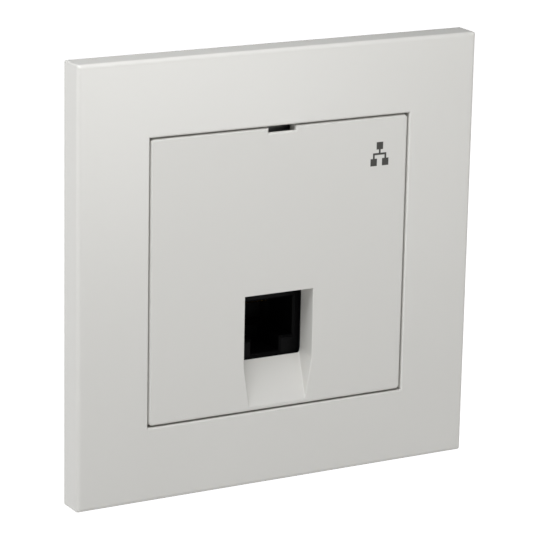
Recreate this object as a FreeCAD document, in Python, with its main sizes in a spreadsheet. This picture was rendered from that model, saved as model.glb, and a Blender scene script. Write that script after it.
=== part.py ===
import FreeCAD, Part
import math
import os
import re

import Sketcher

# An ethernet wall socket for one gang. X runs to the right, Y into the wall and Z up.
# The wall's surface is Y = 0, so the cover's front face is at a negative Y.

SIZES = {
    # Cover frame
    "frame_side": 84.7,
    "frame_depth": 5.6,
    "frame_wall": 2.0,
    "frame_lean": 0.5,
    "frame_edge_round": 0.8,
    "frame_corner_round": 0.4,
    "seat_edge_round": 0.35,
    "collar_wall": 1.4,
    "ledge_width": 1.6,
    "ledge_thickness": 1.4,
    "screw_room": 9.0,
    "screw_room_floor": 0.6,
    "rib_wall": 1.0,
    "rib_offset": 20.0,
    "rib_room": 0.4,
    "stop_gap": 0.3,
    "stop_depth": 0.7,
    # Centre plate
    "plate_side": 54.9,
    "plate_gap": 0.3,
    "plate_recess": 0.1,
    "plate_thickness": 1.9,
    "plate_corner_round": 0.8,
    "plate_edge_round": 0.5,
    "rim_wall": 1.0,
    "rim_height": 1.0,
    "rim_gap": 0.3,
    "window_width": 14.8,
    "window_height": 13.9,
    "ramp_height": 8.0,
    "ramp_width": 12.3,
    "ramp_margin": 0.85,
    "chute_depth": 4.4,
    "chute_draft": 0.15,
    "chute_wall": 1.2,
    "chute_round": 0.5,
    "chute_front_round": 0.2,
    "chute_knee": 1.2,
    "chute_edge_round": 0.15,
    "chute_room": 0.6,
    "chute_well_drop": 4.8,
    "pry_width": 5.8,
    "pry_depth": 0.6,
    "pry_undercut": 1.0,
    "leg_wall": 1.6,
    "leg_width": 6.0,
    "leg_inset": 4.95,
    "leg_height": 12.0,
    "leg_room": 0.4,
    "hook_reach": 0.9,
    "hook_gap": 0.1,
    "hook_length": 1.2,
    "hook_slope": 1.2,
    # Mounting plate
    "steel_side": 71.0,
    "steel_thickness": 1.0,
    "steel_corner_cut": 8.0,
    "steel_opening_width": 37.0,
    "steel_opening_inset": 3.55,
    "steel_opening_round": 2.0,
    "box_screw_spacing": 60.0,
    "box_slot_length": 7.0,
    "box_slot_radius": 1.75,
    # Module carrier and its screws
    "carrier_flange": 1.2,
    "carrier_lap": 1.7,
    "carrier_gap": 0.3,
    "carrier_window_width": 26.0,
    "carrier_window_top": 19.5,
    "carrier_bar": 1.3,
    "ear_height": 8.0,
    "ear_margin": 3.2,
    "screw_offset": 22.3,
    "screw_radius": 1.2,
    "screw_length": 4.4,
    "screw_head_radius": 2.2,
    "screw_head_height": 1.0,
    "screw_head_chamfer": 0.5,
    "screw_tip_chamfer": 0.6,
    "screw_slot_width": 0.6,
    "screw_slot_depth": 0.5,
    "screw_thread_gap": 0.05,
    "screw_hole_gap": 0.2,
    "keystone_wall": 2.0,
    "keystone_wing": 1.4,
    "box_wall": 1.3,
    "box_length": 7.5,
    # Jack housing
    "jack_width": 14.5,
    "jack_height": 16.0,
    "jack_depth": 5.0,
    "jack_rise": 6.0,
    "jack_length": 14.0,
    "jack_gap": 0.2,
    "nose_setback": 0.4,
    "nose_length": 3.0,
    "body_drop": 1.9,
    "shoulder_height": 1.0,
    "shoulder_length": 5.0,
    "latch_wall": 0.9,
    "latch_width": 7.0,
    "latch_length": 15.1,
    "tooth_height": 1.1,
    "plug_width": 11.8,
    "plug_height": 7.6,
    "plug_drop": 2.8,
    "plug_lead": 0.4,
    "tab_width": 6.1,
    "tab_depth": 2.9,
    "tab_length": 9.1,
    "clip_height": 2.8,
    "clip_reach": 0.6,
    "clip_length": 1.8,
    "clip_flat": 0.6,
    "clip_inset": 1.2,
    # Spring contacts and their comb
    "contact_pitch": 1.02,
    "wire_radius": 0.23,
    "wire_drop": 0.6,
    "wire_tail": 0.3,
    "bend_radius": 0.8,
    "bend_depth": 7.0,
    "tip_depth": 10.9,
    "tip_drop": 3.4,
    "comb_length": 3.6,
    "comb_height": 1.9,
    "comb_back": 1.2,
    "comb_slot": 0.7,
    "comb_gap": 0.2,
    # Circuit board
    "board_thickness": 1.6,
    "board_margin": 0.35,
    "board_hole_gap": 0.2,
    # Terminal block and its forked contacts
    "block_base": 3.5,
    "tower_inset": 1.4,
    "tower_margin": 0.4,
    "tower_length": 6.5,
    "arm_wall": 1.0,
    "arm_gap": 0.15,
    "arm_height": 6.0,
    "arm_overlap": 4.2,
    "arm_window_gap": 0.2,
    "wire_slot": 1.0,
    "wire_slot_depth": 5.0,
    "wire_channel": 4.6,
    "solder_room": 0.8,
    "boss_reach": 0.7,
    "boss_width": 1.4,
    "boss_length": 1.4,
    "boss_setback": 1.4,
    "idc_pitch": 2.6,
    "idc_row_offset": 4.15,
    "blade_width": 2.2,
    "blade_thickness": 0.5,
    "blade_length": 7.6,
    "blade_room": 0.1,
    "tail_width": 0.6,
    "fork_width": 0.3,
    "fork_depth": 4.0,
    "fork_mouth": 1.2,
    "fork_lead": 0.8,
    # Wire cap
    "cap_wall": 0.9,
    "cap_gap": 0.3,
    "cap_floor": 1.4,
    "cap_length": 10.5,
    "cable_hole_radius": 3.3,
    "pusher_width": 0.7,
    "pusher_gap": 0.3,
}

CONTACT_COUNT = 8
IDC_COLUMNS = 4

# Edges are found by place: how near counts as the same, and how much longer than wide a steep one is
NEAR = 1e-4
STEEP = 10

# Levels along Y
FACE = "(-frame_depth)"
PLATE_FACE = f"({FACE} + plate_recess)"
PLATE_BACK = f"({PLATE_FACE} + plate_thickness)"
COLLAR_BACK = f"({PLATE_BACK} + ledge_thickness)"
CHUTE_BACK = f"({PLATE_FACE} + chute_depth)"
STEEL_FRONT = "(-steel_thickness)"
FLANGE_FRONT = f"({STEEL_FRONT} - carrier_flange)"
JACK_FACE = f"({PLATE_FACE} + jack_depth)"
NOSE_BACK = f"({JACK_FACE} + nose_length)"
KEYSTONE_FRONT = f"({JACK_FACE} - nose_setback)"
KEYSTONE_BACK = f"({KEYSTONE_FRONT} + keystone_wall)"
BOX_BACK = f"({KEYSTONE_BACK} + box_length)"
SHOULDER_FRONT = f"({KEYSTONE_BACK} + jack_gap)"
SHOULDER_BACK = f"({SHOULDER_FRONT} + shoulder_length)"
CATCH_FRONT = f"({SHOULDER_BACK} + jack_gap)"
BOARD_FRONT = f"({JACK_FACE} + jack_length)"
BOARD_BACK = f"({BOARD_FRONT} + board_thickness)"
BASE_BACK = f"({BOARD_BACK} + block_base)"
TOWER_BACK = f"({BASE_BACK} + tower_length)"
SLOT_FLOOR = f"({TOWER_BACK} - wire_slot_depth)"
BOSS_FRONT = f"({SLOT_FLOOR} + boss_setback)"
BOSS_BACK = f"({BOSS_FRONT} + boss_length)"
BLADE_FRONT = f"({BOARD_BACK} + solder_room)"
BLADE_BACK = f"({BLADE_FRONT} + blade_length)"
CAP_BACK = f"({BASE_BACK} + cap_length)"

# Half widths and heights
HALF_PLATE = "(plate_side / 2)"
HALF_OPENING = f"({HALF_PLATE} + plate_gap)"
HALF_LEDGE = f"({HALF_OPENING} - ledge_width)"
HALF_COLLAR = f"({HALF_OPENING} + collar_wall)"
HALF_HOLLOW = "(frame_side / 2 - frame_wall)"
HALF_STEEL = "(steel_side / 2)"
HALF_STEEL_OPENING = f"({HALF_PLATE} - steel_opening_inset)"
HALF_JACK = "(jack_width / 2)"
HALF_BASE = f"({HALF_JACK} + arm_gap)"
HALF_TOWER = f"({HALF_BASE} - tower_inset)"
HALF_KEYSTONE = f"({HALF_JACK} + jack_gap)"
LEG_CENTRE = f"({HALF_PLATE} - leg_inset)"

# Heights of the chute, the jack and what lines up with them
RAMP_END = f"(ramp_margin - {HALF_PLATE})"
WINDOW_BOTTOM = f"({RAMP_END} + ramp_height)"
WINDOW_TOP = f"({WINDOW_BOTTOM} + window_height)"
JACK_CENTRE = f"({WINDOW_BOTTOM} + jack_rise)"
JACK_TOP = f"({JACK_CENTRE} + jack_height / 2)"
JACK_BOTTOM = f"({JACK_CENTRE} - jack_height / 2)"
BODY_TOP = f"({JACK_TOP} - body_drop)"
BODY_CENTRE = f"(({BODY_TOP} + {JACK_BOTTOM}) / 2)"
SHOULDER_BOTTOM = f"({JACK_BOTTOM} - shoulder_height)"
LATCH_TOP = f"({JACK_TOP} - jack_gap / 2)"
TOOTH_TOP = f"({LATCH_TOP} + tooth_height)"
BOX_TOP = f"({JACK_TOP} + keystone_wing)"
BOX_BOTTOM = f"({JACK_BOTTOM} - keystone_wing)"
PLUG_TOP = f"({JACK_TOP} - plug_drop)"
PLUG_BOTTOM = f"({PLUG_TOP} - plug_height)"
WIRE_LEVEL = f"({PLUG_TOP} - wire_drop)"
TOWER_TOP = f"({BODY_TOP} - tower_margin)"
TOWER_BOTTOM = f"({JACK_BOTTOM} + tower_margin)"
CHANNEL_TOP = f"({BODY_CENTRE} + wire_channel / 2)"
CHANNEL_BOTTOM = f"({BODY_CENTRE} - wire_channel / 2)"

doc = FreeCAD.newDocument("ethernet_wall_socket")


def make_sheet():
    """Write every driving size in the spreadsheet, one named cell each."""
    sheet = doc.addObject("Spreadsheet::Sheet", "Sizes")
    for row, (alias, value) in enumerate(SIZES.items(), start=1):
        sheet.set(f"A{row}", alias)
        sheet.set(f"B{row}", str(value))
        sheet.setAlias(f"B{row}", alias)
    doc.recompute()


def formula(text):
    """Write a formula's size names as the spreadsheet's cells."""
    return re.sub(r"[a-z_]+", lambda m: f"Sizes.{m[0]}" if m[0] in SIZES else m[0], text)


def bind(target, prop, text):
    """Drive a property of an object by a formula of sizes."""
    target.setExpression(prop, formula(text))


def make_body(label):
    """Start the body of one piece."""
    body = doc.addObject("PartDesign::Body", label)
    body.Label = label
    return body


def origin_feature(body, role):
    """Find an axis or plane of a body's own origin."""
    return next(feature for feature in body.Origin.OriginFeatures if feature.Role == role)


def add_sketch(body, name, plane, level="0"):
    """Start a sketch on an origin plane, moved to a level along the plane's axis."""
    sketch = body.newObject("Sketcher::SketchObject", name)
    sketch.AttachmentSupport = [(origin_feature(body, plane), "")]
    sketch.MapMode = "FlatFace"
    along = f"-({level})" if plane == "XZ_Plane" else level
    bind(sketch, "AttachmentOffset.Base.z", along)
    return sketch


def fix_point(sketch, geometry, position, across, up):
    """Hold a point of a sketch at two formulas."""
    drawn = sketch.getPoint(geometry, position)
    for kind, start, text in (("DistanceX", drawn.x, across), ("DistanceY", drawn.y, up)):
        index = sketch.addConstraint(Sketcher.Constraint(kind, -1, 1, geometry, position, start))
        name = f"{kind}_{geometry}_{position}"
        sketch.renameConstraint(index, name)
        bind(sketch, f"Constraints.{name}", text)


def fix_radius(sketch, geometry, radius):
    """Hold the radius of a sketch's circle or arc at a formula."""
    drawn = sketch.Geometry[geometry].Radius
    index = sketch.addConstraint(Sketcher.Constraint("Radius", geometry, drawn))
    name = f"Radius_{geometry}"
    sketch.renameConstraint(index, name)
    bind(sketch, f"Constraints.{name}", radius)


def add_outline(sketch, points):
    """Draw a closed outline through points given as pairs of formulas."""
    count = len(points)
    angles = [2 * math.pi * i / count for i in range(count)]
    ring = [FreeCAD.Vector(math.cos(angle), math.sin(angle), 0) for angle in angles]
    first = sketch.GeometryCount
    sketch.addGeometry([Part.LineSegment(ring[i - 1], ring[i]) for i in range(count)])
    for i in range(count):
        following = first + (i + 1) % count
        sketch.addConstraint(Sketcher.Constraint("Coincident", first + i, 2, following, 1))
    for i, (across, up) in enumerate(points):
        fix_point(sketch, first + i, 2, across, up)
    return first


def add_circle(sketch, across, up, radius):
    """Draw a circle."""
    circle = Part.Circle(FreeCAD.Vector(0, 0, 0), FreeCAD.Vector(0, 0, 1), 1.0)
    index = sketch.addGeometry(circle)
    fix_point(sketch, index, 3, across, up)
    fix_radius(sketch, index, radius)


def add_slot(sketch, start, end, up, radius):
    """Draw a round-ended slot between two end centres on one level."""
    normal = FreeCAD.Vector(0, 0, 1)
    left_end = Part.Circle(FreeCAD.Vector(-2, 0, 0), normal, 1)
    right_end = Part.Circle(FreeCAD.Vector(2, 0, 0), normal, 1)
    left_arc = Part.ArcOfCircle(left_end, math.pi / 2, 1.5 * math.pi)
    right_arc = Part.ArcOfCircle(right_end, -math.pi / 2, math.pi / 2)
    lower = Part.LineSegment(FreeCAD.Vector(-2, -1, 0), FreeCAD.Vector(2, -1, 0))
    upper = Part.LineSegment(FreeCAD.Vector(2, 1, 0), FreeCAD.Vector(-2, 1, 0))
    first = sketch.GeometryCount
    sketch.addGeometry([left_arc, lower, right_arc, upper])
    for i in range(4):
        sketch.addConstraint(Sketcher.Constraint("Tangent", first + i, 2, first + (i + 1) % 4, 1))
    sketch.addConstraint(Sketcher.Constraint("Equal", first, first + 2))
    fix_point(sketch, first, 3, start, up)
    fix_point(sketch, first + 2, 3, end, up)
    fix_radius(sketch, first, radius)


def rectangle(left, right, bottom, top):
    """Corners of a rectangle, as pairs of formulas."""
    return [(left, bottom), (right, bottom), (right, top), (left, top)]


def centred(half_width, half_height):
    """Corners of a rectangle about the origin."""
    return rectangle(f"-({half_width})", half_width, f"-({half_height})", half_height)


def slab(body, name, outlines, front, back, lean=None):
    """Add material between two levels along Y, with the outlines drawn at the back."""
    sketch = add_sketch(body, f"{name}_outline", "XZ_Plane", back)
    for points in outlines:
        add_outline(sketch, points)
    return add_pad(body, name, sketch, f"({back}) - ({front})", lean)


def add_pad(body, name, sketch, length, lean=None, symmetric=False):
    """Pad a sketch along its normal."""
    pad = body.newObject("PartDesign::Pad", name)
    pad.Profile = sketch
    pad.SideType = "Symmetric" if symmetric else "One side"
    bind(pad, "Length", length)
    if lean:
        bind(pad, "TaperAngle", lean)
    doc.recompute()
    return pad


def add_cut(body, name, sketch, length, symmetric=False):
    """Pocket a sketch against its normal, which is into the wall on the XZ plane."""
    cut = body.newObject("PartDesign::Pocket", name)
    cut.Profile = sketch
    cut.SideType = "Symmetric" if symmetric else "One side"
    bind(cut, "Length", length)
    doc.recompute()
    return cut


def hollow(body, name, outlines, front, back):
    """Cut outlines out between two levels along Y."""
    sketch = add_sketch(body, f"{name}_outline", "XZ_Plane", front)
    for points in outlines:
        add_outline(sketch, points)
    return add_cut(body, name, sketch, f"({back}) - ({front})")


def side_profile(body, name, points, width):
    """Add material with a side profile in Y and Z, centred on X."""
    sketch = add_sketch(body, f"{name}_outline", "YZ_Plane")
    add_outline(sketch, points)
    return add_pad(body, name, sketch, width, symmetric=True)


def turn_around(body, name, features):
    """Repeat features on all four sides of the socket."""
    pattern = body.newObject("PartDesign::PolarPattern", name)
    pattern.Originals = features
    pattern.Axis = (origin_feature(body, "Y_Axis"), [""])
    pattern.Angle = 360
    pattern.Occurrences = 4
    body.Tip = pattern
    doc.recompute()
    return pattern


def repeat_across(body, name, features, count, pitch):
    """Repeat features along X at a pitch."""
    pattern = body.newObject("PartDesign::LinearPattern", name)
    pattern.Originals = features
    pattern.Direction = (origin_feature(body, "X_Axis"), [""])
    pattern.Occurrences = count
    bind(pattern, "Length", f"{count - 1} * {pitch}")
    body.Tip = pattern
    doc.recompute()
    return pattern


def mirror(body, name, features, plane):
    """Repeat features on the other side of an origin plane."""
    pattern = body.newObject("PartDesign::Mirrored", name)
    pattern.Originals = features
    pattern.MirrorPlane = (origin_feature(body, plane), [""])
    body.Tip = pattern
    doc.recompute()
    return pattern


def loft(body, kind, name, sketches):
    """Join two outlines by a ruled loft that adds or removes material."""
    feature = body.newObject(kind, name)
    feature.Profile = sketches[0]
    feature.Sections = sketches[1:]
    feature.Ruled = True
    doc.recompute()
    return feature


def size(alias):
    """The value of a size in the spreadsheet."""
    return doc.Sizes.get(alias)


def edges_at(shape, level, most_across=math.inf, most_up=math.inf):
    """Names of the edges that lie on one level along Y, within a limit across and another up."""
    names = []
    for number, edge in enumerate(shape.Edges, start=1):
        box = edge.BoundBox
        flat = max(abs(box.YMin - level), abs(box.YMax - level)) < NEAR
        across = max(abs(box.XMin), abs(box.XMax))
        if flat and across < most_across + NEAR and box.ZMax < most_up + NEAR:
            names.append(f"Edge{number}")
    return names


def edges_along_y(shape, least_reach, most_across=math.inf):
    """Names of the straight edges that run along Y, far from the centre both ways, within a width."""
    names = []
    for number, edge in enumerate(shape.Edges, start=1):
        box = edge.BoundBox
        straight = max(box.XLength, box.ZLength) < NEAR
        far = min(abs(box.XMin), abs(box.ZMin)) > least_reach
        if straight and far and abs(box.XMin) < most_across + NEAR:
            names.append(f"Edge{number}")
    return names


def edges_to_wall(shape):
    """Names of the edges that run back to the wall from the front, at the corners of a cover."""
    names = []
    for number, edge in enumerate(shape.Edges, start=1):
        box = edge.BoundBox
        if abs(box.YMax) < NEAR and box.YLength > STEEP * max(box.XLength, box.ZLength):
            names.append(f"Edge{number}")
    return names


def dress(body, kind, name, base, edges, prop, text):
    """Fillet or chamfer named edges of a feature."""
    feature = body.newObject(kind, name)
    feature.Base = (base, edges)
    bind(feature, prop, text)
    doc.recompute()
    return feature


def make_frame():
    """The cover frame: one moulding, hollow behind, with a ledge that the centre plate rests on."""
    body = make_body("frame")
    side = centred("frame_side / 2", "frame_side / 2")
    cover = slab(body, "Cover", [side], FACE, "0", "-frame_lean")
    front = -size("frame_depth")
    softened = dress(body, "PartDesign::Fillet", "Soft_edge", cover, edges_at(cover.Shape, front), "Radius",
                     "frame_edge_round")
    corners = edges_to_wall(softened.Shape)
    dress(body, "PartDesign::Fillet", "Corners", softened, corners, "Radius", "frame_corner_round")
    ring = [centred(HALF_HOLLOW, HALF_HOLLOW), centred(HALF_COLLAR, HALF_COLLAR)]
    hollow(body, "Back_hollow", ring, f"{FACE} + frame_wall", "0")
    hollow(body, "Collar_end", [centred(HALF_COLLAR, HALF_COLLAR)], COLLAR_BACK, "0")
    hollow(body, "Plate_seat", [centred(HALF_OPENING, HALF_OPENING)], FACE, PLATE_BACK)
    through = hollow(body, "Opening", [centred(HALF_LEDGE, HALF_LEDGE)], PLATE_BACK, COLLAR_BACK)
    seat_edges = edges_at(through.Shape, front, size("plate_side") / 2 + size("plate_gap"))
    dress(body, "PartDesign::Fillet", "Seat_edge", through, seat_edges, "Radius", "seat_edge_round")
    room = rectangle("-screw_room / 2", "screw_room / 2", f"{HALF_LEDGE} - plate_gap", HALF_COLLAR)
    relief = hollow(body, "Screw_head_room", [room], f"{PLATE_BACK} + screw_room_floor", COLLAR_BACK)
    turn_around(body, "Screw_head_rooms", [relief])
    pry = rectangle("-pry_width / 2", "pry_width / 2", f"{HALF_LEDGE} - plate_gap", HALF_OPENING)
    hollow(body, "Pry_well", [pry], PLATE_BACK, COLLAR_BACK)
    add_frame_ribs(body)
    return body


def add_frame_ribs(body):
    """Two stepped ribs on each side, which brace the frame and centre it on the mounting plate."""
    flank = f"{HALF_HOLLOW} + frame_wall / 2"
    rib_back = f"{STEEL_FRONT} - rib_room"
    braces = []
    stops = []
    for sign in ("-", ""):
        left = f"{sign}rib_offset - rib_wall / 2"
        right = f"{sign}rib_offset + rib_wall / 2"
        braces.append(rectangle(left, right, f"{HALF_COLLAR} - collar_wall / 2", flank))
        stops.append(rectangle(left, right, f"{HALF_STEEL} + stop_gap", flank))
    brace = slab(body, "Brace", braces, f"{FACE} + frame_wall", COLLAR_BACK)
    step = slab(body, "Brace_step", stops, COLLAR_BACK, rib_back)
    stop = slab(body, "Stop", stops, rib_back, f"{STEEL_FRONT} + stop_depth")
    turn_around(body, "Ribs", [brace, step, stop])


def chute_outline(sketch, half_width, top, knee, bottom, half_bottom, rounding):
    """Draw the chute's opening on one level, with its two lower corners rounded."""
    first = add_outline(sketch, [
        (f"-({half_width})", top),
        (f"-({half_width})", knee),
        (f"-({half_bottom})", bottom),
        (half_bottom, bottom),
        (half_width, knee),
        (half_width, top),
    ])
    doc.recompute()
    for corner in (2, 3):
        sketch.fillet(first + corner, 2, size(rounding), True, True)
        fix_radius(sketch, sketch.GeometryCount - 2, rounding)
    doc.recompute()


def add_chute(body):
    """The chute: a walled box behind the plate, open in front, with a ramp below the window."""
    half = "window_width / 2"
    half_ramp = "ramp_width / 2"
    ramp_share = "(plate_thickness / chute_depth)"
    wall_knee = f"{WINDOW_BOTTOM} - chute_wall"
    ramp_at_back = f"{RAMP_END} + ramp_height * {ramp_share} - chute_wall"
    outer_front = add_sketch(body, "Chute_root", "XZ_Plane", PLATE_BACK)
    chute_outline(outer_front, f"{half} + chute_wall", f"{WINDOW_TOP} + chute_wall", wall_knee,
                  ramp_at_back, f"{half_ramp} + chute_wall", "chute_round")
    outer_back = add_sketch(body, "Chute_end", "XZ_Plane", CHUTE_BACK)
    chute_outline(outer_back, f"{half} + chute_wall", f"{WINDOW_TOP} + chute_wall",
                  f"{WINDOW_BOTTOM} + chute_wall", wall_knee, half, "chute_round")
    loft(body, "PartDesign::AdditiveLoft", "Chute_walls", [outer_front, outer_back])
    inner_front = add_sketch(body, "Chute_mouth", "XZ_Plane", PLATE_FACE)
    chute_outline(inner_front, half, WINDOW_TOP, WINDOW_BOTTOM, RAMP_END, half_ramp, "chute_front_round")
    inner_back = add_sketch(body, "Chute_floor", "XZ_Plane", CHUTE_BACK)
    half_back = f"({half} - chute_draft)"
    chute_outline(inner_back, half_back, WINDOW_TOP, f"{WINDOW_BOTTOM} + chute_knee", WINDOW_BOTTOM,
                  f"{half_back} - chute_front_round", "chute_round")
    return loft(body, "PartDesign::SubtractiveLoft", "Chute", [inner_front, inner_back])


def add_snap_legs(body):
    """Four legs behind the plate, whose hooks catch behind the mounting plate."""
    sketch = add_sketch(body, "Leg_outline", "XY_Plane", "leg_height - leg_width / 2")
    hook_front = "hook_gap"
    hook_back = "hook_gap + hook_length"
    tip = "hook_gap + hook_length + hook_slope"
    for sign in ("-", ""):
        inner = f"{sign}({LEG_CENTRE} - leg_wall / 2)"
        outer = f"{sign}({LEG_CENTRE} + leg_wall / 2)"
        nose = f"{sign}({LEG_CENTRE} + leg_wall / 2 + hook_reach)"
        add_outline(sketch, [
            (inner, PLATE_BACK),
            (inner, tip),
            (outer, tip),
            (nose, hook_back),
            (nose, hook_front),
            (outer, hook_front),
            (outer, PLATE_BACK),
        ])
    legs = add_pad(body, "Legs", sketch, "leg_width")
    mirror(body, "Lower_legs", [legs], "XY_Plane")


def make_centre_plate():
    """The centre plate: one moulding with the chute, the pry notch, a locating rim and snap legs."""
    body = make_body("centre_plate")
    plate = slab(body, "Plate", [centred(HALF_PLATE, HALF_PLATE)], PLATE_FACE, PLATE_BACK)
    corners = edges_along_y(plate.Shape, size("plate_side") / 4)
    dress(body, "PartDesign::Fillet", "Corners", plate, corners, "Radius", "plate_corner_round")
    notched = add_pry_notch(body)
    front = size("plate_recess") - size("frame_depth")
    dress(body, "PartDesign::Fillet", "Soft_edge", notched, edges_at(notched.Shape, front), "Radius",
          "plate_edge_round")
    rim_outer = f"{HALF_LEDGE} - rim_gap"
    rim_inner = f"{rim_outer} - rim_wall"
    slab(body, "Rim", [centred(rim_outer, rim_outer), centred(rim_inner, rim_inner)], PLATE_BACK,
         f"{PLATE_BACK} + rim_height")
    chute = add_chute(body)
    mouth = edges_at(chute.Shape, front, size("window_width") / 2, most_up=0)
    dress(body, "PartDesign::Fillet", "Chute_edge", chute, mouth, "Radius", "chute_edge_round")
    add_snap_legs(body)
    return body


def add_pry_notch(body):
    """The notch for a screwdriver at the plate's upper edge, undercut towards the back."""
    notch_floor = f"{HALF_PLATE} - pry_depth"
    sketch = add_sketch(body, "Pry_notch_outline", "YZ_Plane")
    add_outline(sketch, [
        (PLATE_FACE, notch_floor),
        (PLATE_BACK, f"{notch_floor} - pry_undercut"),
        (PLATE_BACK, HALF_OPENING),
        (PLATE_FACE, HALF_OPENING),
    ])
    return add_cut(body, "Pry_notch", sketch, "pry_width", symmetric=True)


def make_mounting_plate():
    """The steel plate that is screwed to the wall box."""
    body = make_body("mounting_plate")
    plate = slab(body, "Sheet", [centred(HALF_STEEL, HALF_STEEL)], STEEL_FRONT, "0")
    corners = edges_along_y(plate.Shape, size("steel_side") / 4)
    dress(body, "PartDesign::Chamfer", "Corner_cuts", plate, corners, "Size", "steel_corner_cut")
    half_width = "steel_opening_width / 2"
    opening = hollow(body, "Opening", [centred(half_width, HALF_STEEL_OPENING)], STEEL_FRONT, "0")
    inner = edges_along_y(opening.Shape, size("steel_opening_width") / 4, size("steel_opening_width") / 2)
    dress(body, "PartDesign::Fillet", "Opening_corners", opening, inner, "Radius", "steel_opening_round")
    add_box_holes(body)
    add_leg_slots(body)
    holes = add_sketch(body, "Carrier_hole_outline", "XZ_Plane", STEEL_FRONT)
    for sign in ("-", ""):
        add_circle(holes, f"{sign}screw_offset", "0", "screw_radius + screw_thread_gap")
    add_cut(body, "Carrier_holes", holes, "steel_thickness")
    return body


def add_box_holes(body):
    """Holes for the wall box's screws: slots to the left and right, round holes above and below."""
    outline = add_sketch(body, "Box_hole_outline", "XZ_Plane", STEEL_FRONT)
    offset = "box_screw_spacing / 2"
    reach = "(box_slot_length / 2 - box_slot_radius)"
    add_slot(outline, f"-({offset}) - {reach}", f"-({offset}) + {reach}", "0", "box_slot_radius")
    add_slot(outline, f"{offset} - {reach}", f"{offset} + {reach}", "0", "box_slot_radius")
    for sign in ("-", ""):
        add_circle(outline, "0", f"{sign}({offset})", "box_slot_radius")
    add_cut(body, "Box_holes", outline, "steel_thickness")


def add_leg_slots(body):
    """Four slots in the mounting plate for the centre plate's snap legs."""
    slots = []
    for side in ("-", ""):
        inner = f"{side}({LEG_CENTRE} - leg_wall / 2 - leg_room)"
        outer = f"{side}({LEG_CENTRE} + leg_wall / 2 + leg_room)"
        for end in ("-", ""):
            near = f"{end}(leg_height - leg_width / 2 - leg_room)"
            far = f"{end}(leg_height + leg_width / 2 + leg_room)"
            slots.append(rectangle(inner, outer, near, far))
    hollow(body, "Leg_slots", slots, STEEL_FRONT, "0")


def make_module_carrier():
    """The plastic holder in the mounting plate's opening, with a keystone box for the jack."""
    body = make_body("module_carrier")
    half_width = "(steel_opening_width / 2)"
    ear = "(screw_offset + ear_margin)"
    lap_width = f"({half_width} + carrier_lap)"
    lap_height = f"({HALF_STEEL_OPENING} + carrier_lap)"
    half_ear = "(ear_height / 2)"
    flange = [
        (lap_width, f"-{lap_height}"), (lap_width, f"-{half_ear}"), (ear, f"-{half_ear}"), (ear, half_ear),
        (lap_width, half_ear), (lap_width, lap_height), (f"-{lap_width}", lap_height),
        (f"-{lap_width}", half_ear), (f"-{ear}", half_ear), (f"-{ear}", f"-{half_ear}"),
        (f"-{lap_width}", f"-{half_ear}"), (f"-{lap_width}", f"-{lap_height}"),
    ]
    slab(body, "Flange", [flange], FLANGE_FRONT, STEEL_FRONT)
    plug = centred(f"{half_width} - carrier_gap", f"{HALF_STEEL_OPENING} - carrier_gap")
    block = slab(body, "Plug", [plug], STEEL_FRONT, KEYSTONE_BACK)
    corners = edges_along_y(block.Shape, size("steel_opening_width") / 4, size("steel_opening_width") / 2)
    dress(body, "PartDesign::Fillet", "Plug_corners", block, corners, "Radius", "steel_opening_round")
    window = rectangle("-carrier_window_width / 2", "carrier_window_width / 2",
                       f"{BOX_TOP} + box_wall + carrier_bar", "carrier_window_top")
    hollow(body, "Upper_window", [window], FLANGE_FRONT, KEYSTONE_BACK)
    holes = add_sketch(body, "Screw_hole_outline", "XZ_Plane", FLANGE_FRONT)
    for sign in ("-", ""):
        add_circle(holes, f"{sign}screw_offset", "0", "screw_radius + screw_hole_gap")
    add_cut(body, "Screw_holes", holes, "carrier_flange")
    add_keystone(body)
    return body


def add_keystone(body):
    """The box that grips the jack: a wall with an opening for its nose, and catches above and below."""
    box = rectangle(f"-({HALF_KEYSTONE} + box_wall)", f"{HALF_KEYSTONE} + box_wall",
                    f"{BOX_BOTTOM} - box_wall", f"{BOX_TOP} + box_wall")
    slab(body, "Keystone_box", [box], KEYSTONE_BACK, BOX_BACK)
    inside = rectangle(f"-{HALF_KEYSTONE}", HALF_KEYSTONE, BOX_BOTTOM, BOX_TOP)
    hollow(body, "Keystone_inside", [inside], KEYSTONE_BACK, BOX_BACK)
    chute_half = "window_width / 2 + chute_wall + chute_room"
    chute_well = rectangle(f"-({chute_half})", chute_half, f"{WINDOW_BOTTOM} - chute_well_drop",
                           f"{WINDOW_TOP} + chute_wall + chute_room")
    hollow(body, "Chute_well", [chute_well], FLANGE_FRONT, KEYSTONE_FRONT)
    nose = rectangle(f"-{HALF_KEYSTONE}", HALF_KEYSTONE, f"{JACK_BOTTOM} - jack_gap",
                     f"{JACK_TOP} + jack_gap")
    hollow(body, "Nose_opening", [nose], KEYSTONE_FRONT, KEYSTONE_BACK)
    half_catch = f"({HALF_KEYSTONE} + box_wall / 2)"
    catches = [
        rectangle(f"-{half_catch}", half_catch, f"{BOX_BOTTOM} - box_wall / 2", f"{JACK_BOTTOM} - jack_gap"),
        rectangle(f"-{half_catch}", half_catch, f"{LATCH_TOP} + jack_gap", f"{BOX_TOP} + box_wall / 2"),
    ]
    slab(body, "Catches", catches, CATCH_FRONT, BOX_BACK)


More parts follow.
